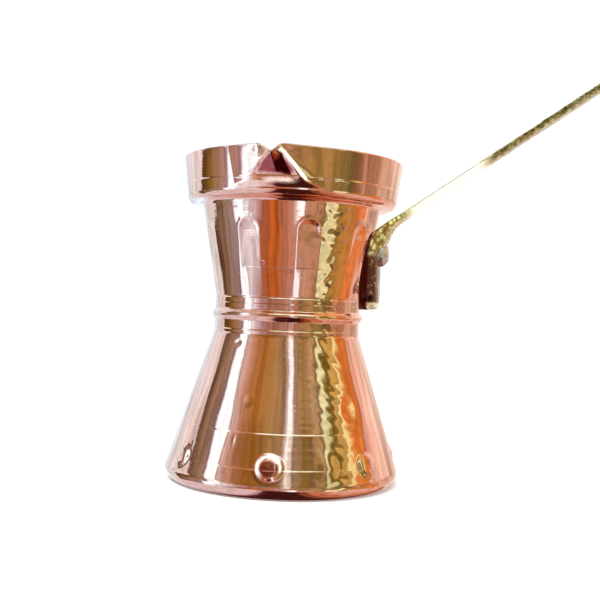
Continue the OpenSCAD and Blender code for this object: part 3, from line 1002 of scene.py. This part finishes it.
class World:
    """Short ways to build the world's nodes."""

    def __init__(self, name):
        self.world = bpy.data.worlds.new(name)
        self.world.use_nodes = True
        self.tree = self.world.node_tree
        for node in list(self.tree.nodes):
            self.tree.nodes.remove(node)
        scene.world = self.world

    def node(self, kind, **values):
        made = self.tree.nodes.new(kind)
        for key, value in values.items():
            setattr(made, key, value)
        return made

    def link(self, output, target):
        self.tree.links.new(output, target)

    def math(self, operation, *values):
        made = self.node("ShaderNodeMath", operation=operation)
        for target, value in zip(made.inputs, values):
            if hasattr(value, "is_output"):
                self.link(value, target)
            else:
                target.default_value = value
        return made.outputs["Value"]

    def mix_value(self, factor, a, b):
        made = self.node("ShaderNodeMix", data_type="FLOAT")
        for target, value in zip(made.inputs[:1] + made.inputs[2:4], (factor, a, b)):
            if hasattr(value, "is_output"):
                self.link(value, target)
            else:
                target.default_value = value
        return made.outputs[0]

    def step(self, value, low, high):
        made = self.node("ShaderNodeMapRange", interpolation_type="SMOOTHSTEP")
        made.inputs["From Min"].default_value = low
        made.inputs["From Max"].default_value = high
        self.link(value, made.inputs["Value"])
        return made.outputs["Result"]

    def mix(self, factor, a, b):
        made = self.node("ShaderNodeMix", data_type="RGBA", blend_type="MIX")
        self.link(factor, made.inputs[0])
        for target, value in ((made.inputs[6], a), (made.inputs[7], b)):
            if hasattr(value, "is_output"):
                self.link(value, target)
            else:
                target.default_value = (*value, 1)
        return made.outputs[2]

    def times(self, colour, amount):
        made = self.node("ShaderNodeMix", data_type="RGBA", blend_type="MULTIPLY")
        made.inputs[0].default_value = 1.0
        self.link(colour, made.inputs[6])
        if hasattr(amount, "is_output"):
            self.link(amount, made.inputs[7])
        else:
            made.inputs[7].default_value = (*amount, 1)
        return made.outputs[2]

    def bands(self, around, stops):
        """Colour by angle: ramps of at most RAMP_STOPS stops, joined where one ends."""
        colour = None
        for first in range(0, len(stops), RAMP_STOPS - 1):
            part = stops[first:first + RAMP_STOPS]
            if len(part) < 2:
                break
            made = self.node("ShaderNodeValToRGB")
            stack = made.color_ramp.elements
            while len(stack) < len(part):
                stack.new(0.5)
            for element, (angle, tint) in zip(stack, part):
                element.position = 0.5 + angle / 360
                element.color = (*tint, 1)
            self.link(around, made.inputs["Fac"])
            start = 0.5 + part[0][0] / 360
            if colour is None:
                colour = made.outputs["Color"]
            else:
                colour = self.mix(self.math("GREATER_THAN", around, start), colour, made.outputs["Color"])
        return colour


def make_room():
    """The world that the metal mirrors: upright bands of light and dark round the pot."""
    w = World("studio_room")
    place = w.node("ShaderNodeTexCoord")
    turn = w.node("ShaderNodeMapping", vector_type="VECTOR")
    turn.inputs["Rotation"].default_value = (0, 0, math.pi / 2 - CAMERA_AZIMUTH)
    w.link(place.outputs["Generated"], turn.inputs["Vector"])
    gradient = w.node("ShaderNodeTexGradient", gradient_type="RADIAL")
    w.link(turn.outputs["Vector"], gradient.inputs["Vector"])
    split = w.node("ShaderNodeSeparateXYZ")
    w.link(turn.outputs["Vector"], split.inputs["Vector"])
    height = split.outputs["Z"]
    sideways = w.math("MULTIPLY_ADD", split.outputs["Y"], 0.5, 0.5)
    spread = w.math("MULTIPLY_ADD", w.math("MAXIMUM", w.math("SUBTRACT", 0.31, height), 0.0), 0.68, 1.0)
    level = gradient.outputs["Fac"]
    spread = w.mix_value(w.step(height, -0.02, 0.10), 1.0, spread)
    around = w.math("MULTIPLY_ADD", w.math("SUBTRACT", level, 0.5), spread, 0.5)
    angle = w.math("MULTIPLY", w.math("SUBTRACT", around, 0.5), 2 * math.pi * 0.59)
    edge = w.math("ADD", height, w.math("MULTIPLY", w.math("COSINE", angle), 0.235))
    shelf = w.bands(around, bordered(SHELF, SHELF_BORDERS))
    table = w.bands(around, bordered(TABLE, TABLE_BORDERS))
    colour = w.mix(w.step(edge, 0.008, -0.008), shelf, table)
    colour = w.mix(w.step(height, -0.02, 0.12), colour, w.bands(around, bordered(ROOM, ROOM_BORDERS)))
    central = w.step(w.math("ABSOLUTE", w.math("SUBTRACT", level, 0.5)), 0.17, 0.11)
    middle = w.math("MULTIPLY", central, w.step(height, 0.05, 0.12))
    olive = w.math("MULTIPLY", w.step(height, 0.52, 0.36), middle)
    colour = w.mix(w.math("MULTIPLY", olive, 0.8), colour, w.times(colour, (0.62, 0.60, 0.42)))
    colour = w.mix(w.step(height, 0.60, 0.66), colour, w.bands(around, CEILING))
    colour = w.mix(w.step(height, 0.885, 0.91), colour, (0.34, 0.12, 0.06))
    colour = w.mix(w.step(height, 0.975, 0.985), colour, (1.1, 1.4, 1.5))
    colour = w.mix(w.step(height, -0.40, -0.46), colour, w.bands(sideways, UNDER))
    speckle = w.node("ShaderNodeTexNoise")
    for key, value in (("Scale", 9.0), ("Detail", 6.0), ("Roughness", 0.7)):
        speckle.inputs[key].default_value = value
    w.link(turn.outputs["Vector"], speckle.inputs["Vector"])
    shade = w.math("MULTIPLY_ADD", speckle.outputs["Fac"], 2.3, -0.16)
    colour = w.times(colour, shade)
    background = w.node("ShaderNodeBackground")
    w.link(colour, background.inputs["Color"])
    output = w.node("ShaderNodeOutputWorld")
    w.link(background.outputs["Background"], output.inputs["Surface"])


def make_cove():
    """A plain pale floor that curves up into a round wall and closes overhead."""
    outline = rounded_line([(0, 0, 0), (1600, 0, 700), (1900, 1700, 700), (0, 2300, 0)], 40)
    outline = resample(outline, lambda r, z: np.full_like(r, 40.0))
    columns = 96
    phi = np.linspace(0, 2 * math.pi, columns, endpoint=False)[None, :]
    r, z = outline[:, :1], outline[:, 1:]
    grid = np.stack([r * np.cos(phi), r * np.sin(phi), z + 0 * phi], -1)
    cove = make_object("cove", grid.reshape(-1, 3), grid_faces(len(outline), columns))
    n = Nodes("pale_cove")
    tree = n.tree
    n.shader.inputs["Base Color"].default_value = (0.9, 0.9, 0.9, 1)
    n.shader.inputs["Roughness"].default_value = 0.9
    n.shader.inputs["Specular IOR Level"].default_value = 0.0
    glow = n.node("ShaderNodeEmission")
    glow.inputs["Color"].default_value = (0.98, 0.98, 0.98, 1)
    glow.inputs["Strength"].default_value = 1.08
    split = n.node("ShaderNodeVectorMath", operation="LENGTH")
    n.link(n.place, split.inputs[0])
    far = n.node("ShaderNodeMapRange", interpolation_type="SMOOTHSTEP")
    far.inputs["From Min"].default_value = 0.12
    far.inputs["From Max"].default_value = 0.75
    n.link(split.outputs["Value"], far.inputs["Value"])
    mix = n.node("ShaderNodeMixShader")
    n.link(far.outputs["Result"], mix.inputs[0])
    n.link(n.shader.outputs[0], mix.inputs[1])
    n.link(glow.outputs[0], mix.inputs[2])
    n.link(mix.outputs[0], tree.nodes["Material Output"].inputs["Surface"])
    cove.data.materials.append(n.material)
    cove.visible_glossy = False


def soft_light(name, place, size, power, aim=(0, 0, 0.05)):
    """A round area light that no surface mirrors."""
    data = bpy.data.lights.new(name, "AREA")
    data.shape, data.size, data.energy = "DISK", size, power
    lamp = bpy.data.objects.new(name, data)
    scene.collection.objects.link(lamp)
    lamp.location = place
    lamp.rotation_euler = (Vector(aim) - Vector(place)).to_track_quat("-Z", "Y").to_euler()
    lamp.visible_glossy = False
    lamp.visible_camera = False
    return lamp


# ---------------------------------------------------------------- putting it together
def dress(obj, material, node):
    """Gives a piece its material, hangs it under the root body and hides the CAD part it stands for."""
    obj.data.materials.clear()
    obj.data.materials.append(material)
    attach(obj, "root")
    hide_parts(node)


make_camera()
outer = resample(pot_outline(), outline_spacing)
plain = resample(pot_outline(), lambda r, z: np.where(z > 90, 0.45, 0.9))
pot = shell("raised_copper_pot", outer, offset_line(plain, COPPER_WALL), 640, True)
tin = shell("wiped_tin_lining", offset_line(plain, COPPER_WALL), offset_line(plain, INSIDE), 240, False)
copper, brass, grey = copper_material(), brass_material(), rivet_material()
dress(pot, copper, "copper_pot")
dress(tin, tin_material(), "tin_lining")
handle = make_handle()
handle.visible_glossy = False
dress(handle, brass, "brass_handle")
domed = make_rivet("domed_rivet", UPPER_RIVET, UPPER_OUTLINE, 3, 0.02)
dress(domed, grey, "upper_rivet")
flush = make_rivet("flush_rivet", LOWER_RIVET, LOWER_OUTLINE, 5, 0.004)
dress(flush, grey, "lower_rivet")
make_room()
make_cove()
soft_light("overhead_soft_light", (-0.25, -0.35, 1.1), 0.9, 16)
soft_light("side_soft_light", (0.9, -0.5, 0.7), 0.7, 5)
scene.view_settings.view_transform = "Standard"
